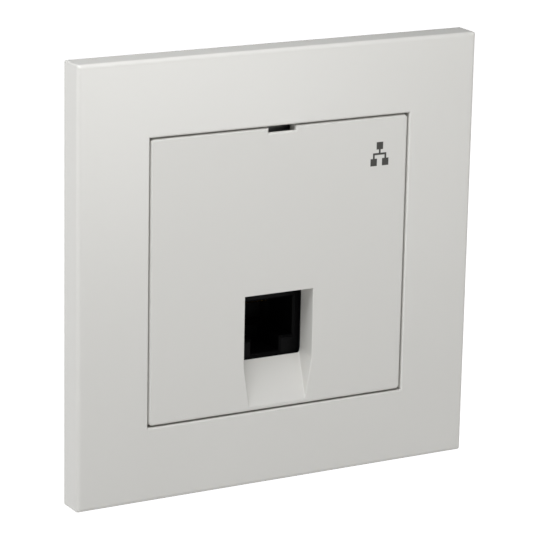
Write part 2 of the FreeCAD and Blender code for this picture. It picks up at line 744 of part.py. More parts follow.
def make_carrier_screw(label, across):
    """One slotted pan-head screw, turned about its own axis."""
    body = make_body(label)
    sketch = add_sketch(body, f"{label}_profile", "XY_Plane")
    head_top = f"{FLANGE_FRONT} - screw_head_height"
    add_outline(sketch, [
        ("0", head_top),
        ("screw_head_radius - screw_head_chamfer", head_top),
        ("screw_head_radius", f"{head_top} + screw_head_chamfer"),
        ("screw_head_radius", FLANGE_FRONT),
        ("screw_radius", FLANGE_FRONT),
        ("screw_radius", f"{FLANGE_FRONT} + screw_length - screw_tip_chamfer"),
        ("screw_radius - screw_tip_chamfer", f"{FLANGE_FRONT} + screw_length"),
        ("0", f"{FLANGE_FRONT} + screw_length"),
    ])
    turned = body.newObject("PartDesign::Revolution", f"{label}_turned")
    turned.Profile = sketch
    turned.ReferenceAxis = (origin_feature(body, "Y_Axis"), [""])
    turned.Angle = 360
    doc.recompute()
    slot = centred("screw_head_radius + screw_slot_width", "screw_slot_width / 2")
    hollow(body, f"{label}_slot", [slot], head_top, f"{head_top} + screw_slot_depth")
    bind(body, "Placement.Base.x", across)
    return body


def make_carrier_screws():
    """The two screws that hold the carrier on the mounting plate."""
    group = doc.addObject("Part::Compound", "carrier_screws")
    group.Label = "carrier_screws"
    group.Links = [make_carrier_screw("left_screw", "-screw_offset"),
                   make_carrier_screw("right_screw", "screw_offset")]
    return group


def make_jack_housing():
    """The jack's front housing: nose, plug cavity, fixed shoulder below and sprung latch above."""
    body = make_body("jack_housing")
    nose = rectangle(f"-{HALF_JACK}", HALF_JACK, JACK_BOTTOM, JACK_TOP)
    slab(body, "Nose", [nose], JACK_FACE, NOSE_BACK)
    core = rectangle(f"-{HALF_JACK}", HALF_JACK, JACK_BOTTOM, BODY_TOP)
    slab(body, "Core", [core], NOSE_BACK, BOARD_FRONT)
    add_jack_grips(body)
    plug = rectangle("-plug_width / 2", "plug_width / 2", PLUG_BOTTOM, PLUG_TOP)
    hollow(body, "Plug_cavity", [plug], JACK_FACE, BOARD_FRONT)
    tab = rectangle("-tab_width / 2", "tab_width / 2", f"{PLUG_BOTTOM} - tab_depth",
                    f"{PLUG_BOTTOM} + plug_lead")
    mouth = hollow(body, "Tab_notch", [tab], JACK_FACE, f"{JACK_FACE} + tab_length")
    face = size("plate_recess") + size("jack_depth") - size("frame_depth")
    rim = edges_at(mouth.Shape, face, size("plug_width") / 2)
    dress(body, "PartDesign::Chamfer", "Lead_in", mouth, rim, "Size", "plug_lead")
    add_jack_clips(body)
    return body


def add_jack_grips(body):
    """The fixed shoulder under the jack and the sprung latch on top, which the keystone box catches."""
    side_profile(body, "Shoulder", [
        (SHOULDER_FRONT, JACK_BOTTOM),
        (SHOULDER_FRONT, SHOULDER_BOTTOM),
        (SHOULDER_BACK, SHOULDER_BOTTOM),
        (SHOULDER_BACK, JACK_BOTTOM),
    ], "jack_width")
    latch_root = f"{NOSE_BACK} - nose_length / 2"
    latch_bottom = f"{LATCH_TOP} - latch_wall"
    side_profile(body, "Latch", [
        (latch_root, latch_bottom),
        (f"{JACK_FACE} + latch_length", latch_bottom),
        (f"{JACK_FACE} + latch_length", LATCH_TOP),
        (SHOULDER_BACK, LATCH_TOP),
        (SHOULDER_BACK, TOOTH_TOP),
        (f"{SHOULDER_BACK} - tooth_height / 2", TOOTH_TOP),
        (f"{NOSE_BACK} + jack_gap", LATCH_TOP),
        (latch_root, LATCH_TOP),
    ], "latch_width")


def add_jack_clips(body):
    """A wedge on each flank of the housing, which snaps into the terminal block's arms."""
    clip_back = f"{BOARD_FRONT} - clip_inset"
    clip_front = f"{clip_back} - clip_length"
    sketch = add_sketch(body, "Clip_outline", "XY_Plane", f"{BODY_CENTRE} - clip_height / 2")
    for sign in ("-", ""):
        add_outline(sketch, [
            (f"{sign}({HALF_JACK} - clip_reach)", clip_front),
            (f"{sign}({HALF_JACK} + clip_reach)", clip_front),
            (f"{sign}({HALF_JACK} + clip_reach)", f"{clip_front} + clip_flat"),
            (f"{sign}{HALF_JACK}", clip_back),
            (f"{sign}({HALF_JACK} - clip_reach)", clip_back),
        ])
    add_pad(body, "Clips", sketch, "clip_height")


def make_contact_comb():
    """The comb that keeps the spring contacts apart, with a wall that closes the cavity's back."""
    body = make_body("contact_comb")
    half = "(plug_width / 2 - comb_gap)"
    front = f"({BOARD_FRONT} - comb_length)"
    bar = rectangle(f"-{half}", half, f"{PLUG_TOP} - comb_height", PLUG_TOP)
    slab(body, "Bar", [bar], front, BOARD_FRONT)
    first = f"({(1 - CONTACT_COUNT) / 2} * contact_pitch)"
    slot = rectangle(f"{first} - comb_slot / 2", f"{first} + comb_slot / 2",
                     f"{PLUG_TOP} - comb_height - comb_gap", f"{WIRE_LEVEL} + comb_slot / 2")
    cut = hollow(body, "Wire_slot", [slot], front, BOARD_FRONT)
    repeat_across(body, "Wire_slots", [cut], CONTACT_COUNT, "contact_pitch")
    wall = rectangle(f"-{half}", half, f"{PLUG_BOTTOM} + comb_gap", f"{PLUG_TOP} - comb_height")
    slab(body, "Back_wall", [wall], f"{BOARD_FRONT} - comb_back", BOARD_FRONT)
    return body


def add_wire_path(sketch):
    """Draw a spring contact's path: in from the board, round a bend and back down to its tip."""
    tail = size("jack_length") + size("board_thickness") + size("wire_tail")
    bend = size("bend_depth")
    radius = size("bend_radius")
    fall = size("wire_drop") - size("tip_drop")
    # The bend is drawn as a little under half a turn, and the tangents settle it
    turn = math.radians(250)
    centre = FreeCAD.Vector(bend, -radius, 0)
    leave = centre + FreeCAD.Vector(math.cos(turn), math.sin(turn), 0) * radius
    straight = Part.LineSegment(FreeCAD.Vector(tail, 0, 0), FreeCAD.Vector(bend, 0, 0))
    arc = Part.ArcOfCircle(Part.Circle(centre, FreeCAD.Vector(0, 0, 1), radius), math.pi / 2, turn)
    spring = Part.LineSegment(leave, FreeCAD.Vector(size("tip_depth"), fall, 0))
    sketch.addGeometry([straight, arc, spring])
    sketch.addConstraint(Sketcher.Constraint("Tangent", 0, 2, 1, 1))
    sketch.addConstraint(Sketcher.Constraint("Tangent", 1, 2, 2, 1))
    fix_point(sketch, 0, 1, "jack_length + board_thickness + wire_tail", "0")
    fix_radius(sketch, 1, "bend_radius")
    fix_point(sketch, 1, 3, "bend_depth", "-bend_radius")
    fix_point(sketch, 2, 2, "tip_depth", "wire_drop - tip_drop")
    bind(sketch, "AttachmentOffset.Base.x", JACK_FACE)
    bind(sketch, "AttachmentOffset.Base.y", WIRE_LEVEL)


def make_spring_contact(number):
    """One bent contact wire of the jack."""
    label = f"spring_contact_{number}"
    body = make_body(label)
    path = add_sketch(body, f"{label}_path", "YZ_Plane")
    add_wire_path(path)
    section = add_sketch(body, f"{label}_section", "XZ_Plane", f"{BOARD_BACK} + wire_tail")
    add_circle(section, "0", WIRE_LEVEL, "wire_radius")
    doc.recompute()
    wire = body.newObject("PartDesign::AdditivePipe", f"{label}_wire")
    wire.Profile = section
    wire.Spine = path
    bind(body, "Placement.Base.x", f"{number - (CONTACT_COUNT + 1) / 2} * contact_pitch")
    doc.recompute()
    return body


def idc_places():
    """Across and up formulas of the forked contacts, row by row."""
    places = []
    for row in ("idc_row_offset", "-idc_row_offset"):
        for column in range(IDC_COLUMNS):
            places.append((f"{column - (IDC_COLUMNS - 1) / 2} * idc_pitch", f"{BODY_CENTRE} + {row}"))
    return places


def make_circuit_board():
    """The board between the spring contacts and the forked contacts."""
    body = make_body("circuit_board")
    half = f"({HALF_JACK} - board_margin)"
    outline = rectangle(f"-{half}", half, f"{JACK_BOTTOM} + board_margin", f"{BODY_TOP} - board_margin")
    slab(body, "Laminate", [outline], BOARD_FRONT, BOARD_BACK)
    holes = add_sketch(body, "Hole_outline", "XZ_Plane", BOARD_FRONT)
    for number in range(1, CONTACT_COUNT + 1):
        across = f"{number - (CONTACT_COUNT + 1) / 2} * contact_pitch"
        add_circle(holes, across, WIRE_LEVEL, "wire_radius + board_hole_gap")
    for across, up in idc_places():
        add_circle(holes, across, up, "tail_width / 2 + board_hole_gap")
    add_cut(body, "Holes", holes, "board_thickness")
    return body


def make_idc_block():
    """The terminal block: a base with two clip arms, and two towers slotted for the wires."""
    body = make_body("idc_block")
    base = rectangle(f"-{HALF_BASE}", HALF_BASE, JACK_BOTTOM, BODY_TOP)
    slab(body, "Base", [base], BOARD_BACK, BASE_BACK)
    tower = rectangle(f"-{HALF_TOWER}", HALF_TOWER, TOWER_BOTTOM, TOWER_TOP)
    slab(body, "Tower", [tower], BASE_BACK, TOWER_BACK)
    channel = rectangle(f"-{HALF_BASE}", HALF_BASE, CHANNEL_BOTTOM, CHANNEL_TOP)
    hollow(body, "Cable_channel", [channel], SLOT_FLOOR, TOWER_BACK)
    first = f"({(1 - IDC_COLUMNS) / 2} * idc_pitch)"
    wires = rectangle(f"{first} - wire_slot / 2", f"{first} + wire_slot / 2",
                      f"{TOWER_BOTTOM} - tower_margin", f"{TOWER_TOP} + tower_margin")
    wire_cut = hollow(body, "Wire_slot", [wires], SLOT_FLOOR, TOWER_BACK)
    repeat_across(body, "Wire_slots", [wire_cut], IDC_COLUMNS, "idc_pitch")
    pockets = []
    half_blade = "(blade_width / 2 + blade_room)"
    half_thick = "(blade_thickness / 2 + blade_room)"
    for row in ("idc_row_offset", "-idc_row_offset"):
        level = f"{BODY_CENTRE} + {row}"
        pockets.append(rectangle(f"{first} - {half_blade}", f"{first} + {half_blade}",
                                 f"{level} - {half_thick}", f"{level} + {half_thick}"))
    blade_cut = hollow(body, "Blade_pocket", pockets, BOARD_BACK, f"{BLADE_BACK} + blade_room")
    repeat_across(body, "Blade_pockets", [blade_cut], IDC_COLUMNS, "idc_pitch")
    joints = rectangle(f"-{CONTACT_COUNT / 2} * contact_pitch", f"{CONTACT_COUNT / 2} * contact_pitch",
                       f"{WIRE_LEVEL} - wire_radius - solder_room / 2",
                       f"{WIRE_LEVEL} + wire_radius + solder_room / 2")
    hollow(body, "Solder_room", [joints], BOARD_BACK, f"{BOARD_BACK} + solder_room")
    add_block_clips(body)
    return body


def add_block_clips(body):
    """Two arms that clip on the jack housing, and two bosses that hold the wire cap."""
    arm_front = f"{BOARD_FRONT} - arm_overlap"
    half_arm = "(arm_height / 2)"
    arms = []
    for sign in ("-", ""):
        arms.append(rectangle(f"{sign}{HALF_BASE}", f"{sign}({HALF_BASE} + arm_wall)",
                              f"{BODY_CENTRE} - {half_arm}", f"{BODY_CENTRE} + {half_arm}"))
    slab(body, "Clip_arms", arms, arm_front, BASE_BACK)
    sketch = add_sketch(body, "Arm_window_outline", "XY_Plane",
                        f"{BODY_CENTRE} + clip_height / 2 + arm_window_gap")
    clip_back = f"{BOARD_FRONT} - clip_inset"
    for sign in ("-", ""):
        inner = f"{sign}({HALF_BASE} - arm_gap)"
        outer = f"{sign}({HALF_BASE} + arm_wall + arm_gap)"
        add_outline(sketch, rectangle(inner, outer, f"{clip_back} - clip_length - arm_window_gap",
                                      f"{clip_back} + arm_window_gap"))
    add_cut(body, "Arm_windows", sketch, "clip_height + 2 * arm_window_gap")
    bosses = []
    for flank in (TOWER_TOP, TOWER_BOTTOM):
        bosses.append(rectangle("-boss_width / 2", "boss_width / 2", f"{flank} - boss_reach",
                                f"{flank} + boss_reach"))
    slab(body, "Cap_bosses", bosses, BOSS_FRONT, BOSS_BACK)


def make_idc_contact(number, across, up):
    """One forked contact, cut from sheet: a tail for the board and a fork for the wire."""
    label = f"idc_contact_{number}"
    body = make_body(label)
    sketch = add_sketch(body, f"{label}_outline", "XY_Plane")
    half = "(blade_width / 2)"
    half_tail = "(tail_width / 2)"
    half_fork = "(fork_width / 2)"
    half_mouth = "(fork_mouth / 2)"
    fork_floor = f"{BLADE_BACK} - fork_depth"
    fork_throat = f"{BLADE_BACK} - fork_lead"
    add_outline(sketch, [
        (f"-{half_tail}", BOARD_FRONT),
        (half_tail, BOARD_FRONT),
        (half_tail, BLADE_FRONT),
        (half, BLADE_FRONT),
        (half, BLADE_BACK),
        (half_mouth, BLADE_BACK),
        (half_fork, fork_throat),
        (half_fork, fork_floor),
        (f"-{half_fork}", fork_floor),
        (f"-{half_fork}", fork_throat),
        (f"-{half_mouth}", BLADE_BACK),
        (f"-{half}", BLADE_BACK),
        (f"-{half}", BLADE_FRONT),
        (f"-{half_tail}", BLADE_FRONT),
    ])
    add_pad(body, f"{label}_blade", sketch, "blade_thickness", symmetric=True)
    bind(body, "Placement.Base.x", across)
    bind(body, "Placement.Base.z", up)
    doc.recompute()
    return body


def make_wire_cap():
    """The cap that presses the wires into the forks, with the cable's way in at the back."""
    body = make_body("wire_cap")
    inner = f"({HALF_TOWER} + cap_gap)"
    inner_top = f"({TOWER_TOP} + cap_gap)"
    inner_bottom = f"({TOWER_BOTTOM} - cap_gap)"
    outer = rectangle(f"-({inner} + cap_wall)", f"{inner} + cap_wall", f"{inner_bottom} - cap_wall",
                      f"{inner_top} + cap_wall")
    slab(body, "Shell", [outer], BASE_BACK, CAP_BACK)
    inside = rectangle(f"-{inner}", inner, inner_bottom, inner_top)
    hollow(body, "Inside", [inside], BASE_BACK, f"{CAP_BACK} - cap_floor")
    entry = add_sketch(body, "Cable_hole_outline", "XZ_Plane", f"{CAP_BACK} - cap_floor")
    add_circle(entry, "0", BODY_CENTRE, "cable_hole_radius")
    add_cut(body, "Cable_hole", entry, "cap_floor")
    half_window = "boss_width / 2 + cap_gap"
    window = rectangle(f"-({half_window})", half_window, f"{inner_bottom} - cap_wall - cap_gap",
                       f"{inner_top} + cap_wall + cap_gap")
    hollow(body, "Boss_windows", [window], f"{BOSS_FRONT} - cap_gap", f"{BOSS_BACK} + cap_gap")
    first = f"({(1 - IDC_COLUMNS) / 2} * idc_pitch)"
    left = f"{first} - pusher_width / 2"
    right = f"{first} + pusher_width / 2"
    pusher_start = "(cable_hole_radius + pusher_gap)"
    pushers = [
        rectangle(left, right, f"{BODY_CENTRE} + {pusher_start}", f"{TOWER_TOP} - pusher_gap"),
        rectangle(left, right, f"{TOWER_BOTTOM} + pusher_gap", f"{BODY_CENTRE} - {pusher_start}"),
    ]
    pair = slab(body, "Pusher", pushers, f"{BLADE_BACK} + pusher_gap", f"{CAP_BACK} - cap_floor / 2")
    repeat_across(body, "Pushers", [pair], IDC_COLUMNS, "idc_pitch")
    return body


def make_pieces():
    """Build every piece of the socket, from the front to the back."""
    pieces = [make_frame(), make_centre_plate(), make_mounting_plate(), make_module_carrier()]
    pieces.append(make_carrier_screws())
    pieces += [make_jack_housing(), make_contact_comb()]
    pieces += [make_spring_contact(number) for number in range(1, CONTACT_COUNT + 1)]
    pieces += [make_circuit_board(), make_idc_block()]
    for number, (across, up) in enumerate(idc_places(), start=1):
        pieces.append(make_idc_contact(number, across, up))
    pieces.append(make_wire_cap())
    return pieces


def export(pieces):
    """Check the document and write one file for each piece."""
    doc.recompute()
    for thing in doc.Objects:
        if "Invalid" in thing.State or "Error" in thing.State:
            raise RuntimeError(f"{thing.Label} could not be built: {thing.State}")
    os.makedirs("parts", exist_ok=True)
    for piece in pieces:
        if piece.Shape.isNull() or not piece.Shape.isValid():
            raise RuntimeError(f"{piece.Label} has no valid shape")
        piece.Shape.exportStep(f"parts/{piece.Label}.step")


make_sheet()
export(make_pieces())
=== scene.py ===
"""Finishes, small fittings, light and camera for a one-gang ethernet wall socket."""

import logging
import math
from dataclasses import dataclass, field
from enum import Enum
from typing import Any, Sequence, Union

import bpy
from mathutils import Matrix, Vector


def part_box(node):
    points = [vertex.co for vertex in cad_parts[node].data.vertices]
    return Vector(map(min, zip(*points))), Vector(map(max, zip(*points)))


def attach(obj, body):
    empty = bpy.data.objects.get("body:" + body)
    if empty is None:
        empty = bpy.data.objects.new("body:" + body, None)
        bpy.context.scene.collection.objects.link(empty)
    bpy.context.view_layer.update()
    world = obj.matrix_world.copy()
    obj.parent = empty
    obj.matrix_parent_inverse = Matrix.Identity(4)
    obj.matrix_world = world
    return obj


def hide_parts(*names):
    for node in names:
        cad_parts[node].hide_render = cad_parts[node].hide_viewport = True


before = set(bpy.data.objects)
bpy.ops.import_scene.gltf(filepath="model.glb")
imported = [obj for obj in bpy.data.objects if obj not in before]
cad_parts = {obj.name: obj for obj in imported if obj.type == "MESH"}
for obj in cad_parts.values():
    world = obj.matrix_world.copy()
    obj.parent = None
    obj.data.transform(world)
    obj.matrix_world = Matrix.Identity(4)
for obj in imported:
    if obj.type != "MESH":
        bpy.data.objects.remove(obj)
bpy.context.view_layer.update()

log = logging.getLogger("wall_socket")

MM = 0.001
Colour = tuple[float, float, float]
Point = tuple[float, float, float]


class Slot(Enum):
    """The record's material slots."""

    WHITE = "white_plastic"
    STEEL = "zinc_steel"
    BLACK = "black_plastic"
    CONTACT = "contact_metal"
    FORK = "fork_metal"
    BOARD = "board_laminate"
    TERMINAL = "terminal_plastic"


class Num:
    """A number socket; Python operators on it add Math nodes to its tree."""

    def __init__(self, maker: "NodeMaker", socket: bpy.types.NodeSocket) -> None:
        """Keep the socket and the maker that adds nodes beside it."""
        self.maker = maker
        self.socket = socket

    def _math(self, operation: str, first: "Operand", second: "Operand" = 0.0) -> "Num":
        """Add one Math node.

        Args:
            operation: The Math node's operation.
            first: Its first operand.
            second: Its second operand.

        Returns:
            The node's result.
        """
        node = self.maker.node("ShaderNodeMath", {"operation": operation}, {0: first, 1: second})
        return Num(self.maker, node.outputs[0])

    def __add__(self, other: "Operand") -> "Num":
        """Sum with a number on the right."""
        return self._math("ADD", self, other)

    def __radd__(self, other: "Operand") -> "Num":
        """Sum with a number on the left."""
        return self._math("ADD", other, self)

    def __sub__(self, other: "Operand") -> "Num":
        """Difference from a number on the right."""
        return self._math("SUBTRACT", self, other)

    def __rsub__(self, other: "Operand") -> "Num":
        """Difference from a number on the left."""
        return self._math("SUBTRACT", other, self)

    def __mul__(self, other: "Operand") -> "Num":
        """Product with a number on the right."""
        return self._math("MULTIPLY", self, other)

    def __rmul__(self, other: "Operand") -> "Num":
        """Product with a number on the left."""
        return self._math("MULTIPLY", other, self)

    def __abs__(self) -> "Num":
        """Size without its sign."""
        return self._math("ABSOLUTE", self)

    def __truediv__(self, other: "Operand") -> "Num":
        """Quotient by a number on the right."""
        return self._math("DIVIDE", self, other)

    def __rtruediv__(self, other: "Operand") -> "Num":
        """Quotient of a number on the left by this one."""
        return self._math("DIVIDE", other, self)

    def __pow__(self, power: float) -> "Num":
        """A power of this number."""
        return self._math("POWER", self, power)

    def __gt__(self, other: "Operand") -> "Num":
        """One where this is greater than another number, else zero."""
        return self._math("GREATER_THAN", self, other)

    def fraction(self) -> "Num":
        """What is left after the whole turns are taken off."""
        return self._math("FRACT", self)

    def sine(self) -> "Num":
        """Sine of an angle in radians."""
        return self._math("SINE", self)

    def cosine(self) -> "Num":
        """Cosine of an angle in radians."""
        return self._math("COSINE", self)

    def lower(self, other: "Operand") -> "Num":
        """The lesser of this and another number."""
        return self._math("MINIMUM", self, other)

    def higher(self, other: "Operand") -> "Num":
        """The greater of this and another number."""
        return self._math("MAXIMUM", self, other)

    def below(self, limit: float, blur: float) -> "Num":
        """A mask that is one below a limit and falls to zero over a blur.

        Args:
            limit: Where the mask is a half.
            blur: The width of its edge.

        Returns:
            The mask.
        """
        ramp = self.maker.node(
            "ShaderNodeMapRange",
            {"interpolation_type": "SMOOTHSTEP", "clamp": True},
            {"Value": self, "From Min": limit - blur / 2, "From Max": limit + blur / 2,
             "To Min": 1.0, "To Max": 0.0},
        )
        return Num(self.maker, ramp.outputs["Result"])


Operand = Union[Num, float]


class NodeMaker:
    """Adds nodes to a tree, each with its settings first and then its sockets' values or links."""

    def __init__(self, tree: bpy.types.NodeTree) -> None:
        """Keep the tree."""
        self.tree = tree

    def node(self, kind: str, settings: dict[str, Any], inputs: dict[Any, Any]) -> bpy.types.Node:
        """Add one node.

        Args:
            kind: The node's type.
            settings: Its properties by name.
            inputs: Values, sockets or numbers by socket name or place.

        Returns:
            The node.
        """
        made = self.tree.nodes.new(kind)
        for name, value in settings.items():
            setattr(made, name, value)
        for key, value in inputs.items():
            self.join(value, made.inputs[key])
        return made

    def join(self, value: Any, socket: bpy.types.NodeSocket) -> None:
        """Link a socket or set its value.

        Args:
            value: A number of this tree, another socket or a plain value.
            socket: The input to feed.
        """
        if isinstance(value, Num):
            self.tree.links.new(value.socket, socket)
        elif isinstance(value, bpy.types.NodeSocket):
            self.tree.links.new(value, socket)
        else:
            socket.default_value = value

    def split(self, vector: bpy.types.NodeSocket) -> tuple[Num, Num, Num]:
        """The three parts of a vector as numbers."""
        parts = self.node("ShaderNodeSeparateXYZ", {}, {0: vector}).outputs
        return tuple(Num(self, part) for part in parts)


class Surface(NodeMaker):
    """One material under construction, with its shader and the object's own coordinates."""

    BLEND_FACTOR, BLEND_FIRST, BLEND_SECOND, BLEND_RESULT = 0, 6, 7, 2
    NOISE_MIDDLE = 0.5

    def __init__(self, name: str) -> None:
        """Start an empty material with one shader.

        Args:
            name: The material's name.
        """
        self.material = bpy.data.materials.new(name)
        self.material.use_nodes = True
        super().__init__(self.material.node_tree)
        self.tree.nodes.clear()
        self.shader = self.node("ShaderNodeBsdfPrincipled", {}, {})
        self.node("ShaderNodeOutputMaterial", {}, {"Surface": self.shader.outputs["BSDF"]})
        self.place = self.node("ShaderNodeTexCoord", {}, {}).outputs["Object"]

    def axes(self) -> tuple[Num, Num, Num]:
        """The three coordinates of a point of the object."""
        return self.split(self.place)

    def noise(self, size: float, detail: float, stretch: Point = (1.0, 1.0, 1.0)) -> Num:
        """Even noise about a half.

        Args:
            size: The size of its patches, in metres.
            detail: How many finer layers it has.
            stretch: How much longer the patches are along each axis.

        Returns:
            The noise, from zero to one.
        """
        scale = tuple(1.0 / (size * s) for s in stretch)
        mapped = self.node("ShaderNodeMapping", {}, {"Vector": self.place, "Scale": scale})
        made = self.node(
            "ShaderNodeTexNoise", {}, {"Vector": mapped.outputs[0], "Scale": 1.0, "Detail": detail})
        return Num(self, made.outputs[0])

    def blend(self, mask: Operand, first: Any, second: Any) -> bpy.types.NodeSocket:
        """Mix two colours.

        Args:
            mask: How much of the second colour.
            first: A colour or a colour socket.
            second: Another.

        Returns:
            The mixed colour's socket.
        """
        colours = [(*c, 1.0) if isinstance(c, tuple) else c for c in (first, second)]
        mix = self.node(
            "ShaderNodeMix",
            {"data_type": "RGBA"},
            {self.BLEND_FACTOR: mask, self.BLEND_FIRST: colours[0], self.BLEND_SECOND: colours[1]},
        )
        return mix.outputs[self.BLEND_RESULT]

    def bump(self, height: Num, depth: float, under: Any = None) -> bpy.types.NodeSocket:
        """Raise the surface by a height field.

        Args:
            height: The field, from zero to one.
            depth: The field's real height in metres.
            under: The normal of a bump below this one.

        Returns:
            The bumped normal.
        """
        inputs = {"Height": height, "Distance": depth, "Strength": 1.0}
        if under is not None:
            inputs["Normal"] = under
        return self.node("ShaderNodeBump", {}, inputs).outputs[0]

    def set(self, **sockets: Any) -> None:
        """Feed the shader's sockets, named with underscores for spaces.

        Args:
            sockets: Values, sockets or numbers; a plain colour has three parts.
        """
        for name, value in sockets.items():
            if isinstance(value, tuple) and len(value) == 3:
                value = (*value, 1.0)
            label = name.replace("_", " ").title().replace("Ior", "IOR")
            self.join(value, self.shader.inputs[label])


class ShapeTree(NodeMaker):
    """A Geometry Nodes tree under construction, whose sizes are its named inputs."""

    SHAPE = "Shape"

    def __init__(self, name: str) -> None:
        """Start an empty tree with one output.

        Args:
            name: The tree's name, also given to the object it makes.
        """
        super().__init__(bpy.data.node_groups.new(name, "GeometryNodeTree"))
        self.name = name
        self.sizes: dict[str, float] = {}
        self.tree.interface.new_socket(
            self.SHAPE, in_out="OUTPUT", socket_type="NodeSocketGeometry")
        self.given = self.node("NodeGroupInput", {}, {})

    def size(self, name: str, value: float) -> Num:
        """Add a named input.

        Args:
            name: The input's name.
            value: Its value for this object.

        Returns:
            The input as a number of the tree.
        """
        socket = self.tree.interface.new_socket(name, in_out="INPUT", socket_type="NodeSocketFloat")
        self.sizes[socket.identifier] = value
        return Num(self, self.given.outputs[name])

    def place(self) -> tuple[Num, Num, Num]:
        """The three coordinates of a point of the shape."""
        return self.split(self.node("GeometryNodeInputPosition", {}, {}).outputs[0])

    def vector(self, x: Operand, y: Operand, z: Operand) -> bpy.types.NodeSocket:
        """A vector from three numbers."""
        return self.node("ShaderNodeCombineXYZ", {}, {0: x, 1: y, 2: z}).outputs[0]

    def moved(self, shape: bpy.types.NodeSocket, x: Operand, y: Operand,
              z: Operand) -> bpy.types.NodeSocket:
        """A shape with its points put at new places."""
        inputs = {"Geometry": shape, "Position": self.vector(x, y, z)}
        return self.node("GeometryNodeSetPosition", {}, inputs).outputs[0]

    def shaded(self, shape: bpy.types.NodeSocket, sharp: float) -> bpy.types.NodeSocket:
        """A smooth shape with sharp edges where it turns more than an angle.

        Args:
            shape: The shape.
            sharp: The angle in radians.

        Returns:
            The shaded shape.
        """
        smooth = self.node("GeometryNodeSetShadeSmooth", {"domain": "FACE"},
                           {"Geometry": shape, "Shade Smooth": True})
        turn = Num(self, self.node("GeometryNodeInputMeshEdgeAngle", {}, {}).outputs[0])
        inputs = {"Geometry": smooth.outputs[0], "Selection": turn > sharp, "Shade Smooth": False}
        return self.node("GeometryNodeSetShadeSmooth", {"domain": "EDGE"}, inputs).outputs[0]

    def make(self, shape: bpy.types.NodeSocket, material: bpy.types.Material) -> bpy.types.Object:
        """Close the tree, run it and keep its result as a plain mesh.

        Args:
            shape: The finished shape, instances and all.
            material: Its material.

        Returns:
            An object at the origin.
        """
        real = self.node("GeometryNodeRealizeInstances", {}, {0: shape})
        dressed = self.node("GeometryNodeSetMaterial", {},
                            {"Geometry": real.outputs[0], "Material": material})
        self.node("NodeGroupOutput", {}, {self.SHAPE: dressed.outputs[0]})
        made = bpy.data.objects.new(self.name, bpy.data.meshes.new(self.name))
        bpy.context.scene.collection.objects.link(made)
        modifier = made.modifiers.new(self.name, "NODES")
        modifier.node_group = self.tree
        for identifier, value in self.sizes.items():
            modifier[identifier] = value
        evaluated = made.evaluated_get(bpy.context.evaluated_depsgraph_get())
        mesh = bpy.data.meshes.new_from_object(evaluated)
        made.modifiers.remove(modifier)
        made.data = mesh
        return made


@dataclass(frozen=True)
class PrintedMark:
    """A small network sign on the centre plate: three boxes joined by lines."""

    across: float = 21.32 * MM
    up: float = 20.27 * MM
    half_width: float = 2.0 * MM
    half_height: float = 2.32 * MM
    box: float = 0.72 * MM
    line: float = 0.2 * MM
    edge: float = 0.06 * MM
    ink: Colour = (0.048, 0.046, 0.04)
    dulling: float = 0.15

    def mask(self, surface: Surface) -> Num:
        """Where the ink lies.

        Args:
            surface: The plate's material.

        Returns:
            The mask, one in the ink.
        """
        x, y, z = surface.axes()
        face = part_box("centre_plate")[0].y + self.edge
        across = abs(x - self.across)
        up = z - self.up
        run, rise = self.half_width - self.box, self.half_height - self.box
        foot_across = abs(across - run)
        head = across.higher(abs(up - rise)) - self.box
        foot = foot_across.higher(abs(up + rise)) - self.box
        stem = across.higher(abs(up - rise / 2) - rise / 2) - self.line
        bar = (across - run).higher(abs(up)) - self.line
        leg = foot_across.higher(abs(up + rise / 2) - rise / 2) - self.line
        shape = head.lower(foot).lower(stem).lower(bar).lower(leg)
        return shape.below(0.0, self.edge) * y.below(face, self.edge)


@dataclass(frozen=True)
class MouldedPlastic:
    """A moulded plastic with a fine grain, faint flow marks and perhaps a paler rear, its front
    darker as painted shade.
    """

    colour: Colour
    shade: Colour
    roughness: float
    specular: float = 0.5
    flow_size: float = 22 * MM
    flow_detail: float = 3.0
    peel_size: float = 1.3 * MM
    peel_detail: float = 1.0
    peel_depth: float = 0.0012 * MM
    grain_size: float = 0.12 * MM
    grain_detail: float = 2.0
    grain_depth: float = 0.0015 * MM
    gloss_spread: float = 0.08
    # Painted shade: the main colour lies on the front, darker for the shade it sits in; the rear
    # keeps a paler tone.
    unshaded_rear: Colour | None = None
    unshaded_rear_from: float = 9 * MM
    unshaded_rear_blur: float = 2 * MM

    def make(self, name: str, mark: PrintedMark | None = None) -> bpy.types.Material:
        """Build the material.

        Args:
            name: Its name.
            mark: A sign printed on it.

        Returns:
            The material.
        """
        surface = Surface(name)
        flow = surface.noise(self.flow_size, self.flow_detail)
        peel = surface.noise(self.peel_size, self.peel_detail)
        grain = surface.noise(self.grain_size, self.grain_detail)
        colour = surface.blend(flow, self.shade, self.colour)
        rough = self.roughness + (grain + flow - 2 * surface.NOISE_MIDDLE) * self.gloss_spread
        # Painted shade: only the rear beyond a depth gets the paler colour, so the front stays
        # darker as if shaded.
        if self.unshaded_rear:
            _, depth, _ = surface.axes()
            colour = surface.blend(depth.below(self.unshaded_rear_from, self.unshaded_rear_blur), self.unshaded_rear, colour)
        if mark:
            ink = mark.mask(surface)
            colour = surface.blend(ink, colour, mark.ink)
            rough = rough + ink * mark.dulling
        normal = surface.bump(peel, self.peel_depth)
        normal = surface.bump(grain, self.grain_depth, normal)
        surface.set(base_color=colour, roughness=rough, normal=normal,
                    specular_ior_level=self.specular)
        return surface.material


